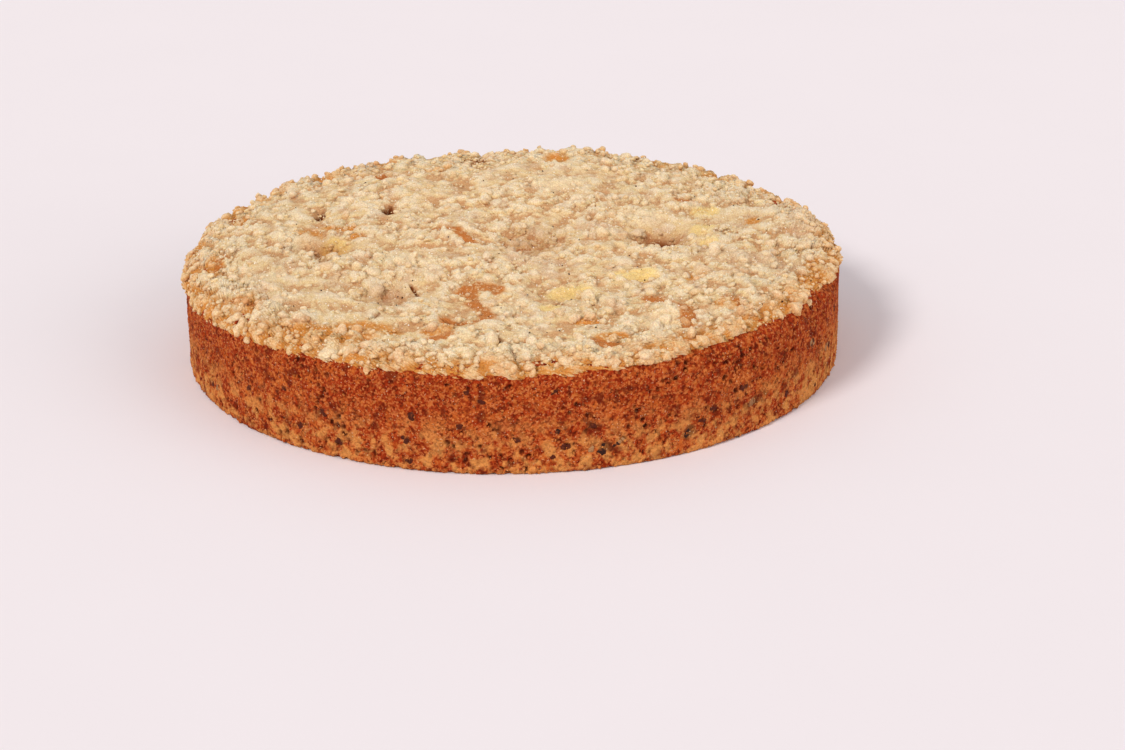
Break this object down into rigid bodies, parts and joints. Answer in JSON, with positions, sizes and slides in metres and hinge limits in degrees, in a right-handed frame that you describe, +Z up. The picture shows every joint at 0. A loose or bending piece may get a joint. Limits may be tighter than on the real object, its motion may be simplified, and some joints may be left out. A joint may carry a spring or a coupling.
{
  "type": "carrot cake",
  "caption": "Round, uncut carrot cake with an upright browned side and a gently domed top under a lumpy baked crumb topping.",
  "frame": {"origin": "middle of the flat underside", "axes": "+Z up through the middle of the cake; -Y towards the side that faces the viewer; +X to the viewer's right"},
  "size_m": [0.2289, 0.2288, 0.0438],
  "materials": {
    "sponge": "browned open cake crumb, dry and matt",
    "crumb_topping": "pale baked butter crumble, matt with a fine sugar grain"
  },
  "bodies": {
    "root": {"sponge": "sponge", "crumb_topping": "crumb_topping"}
  },
  "joints": []
}
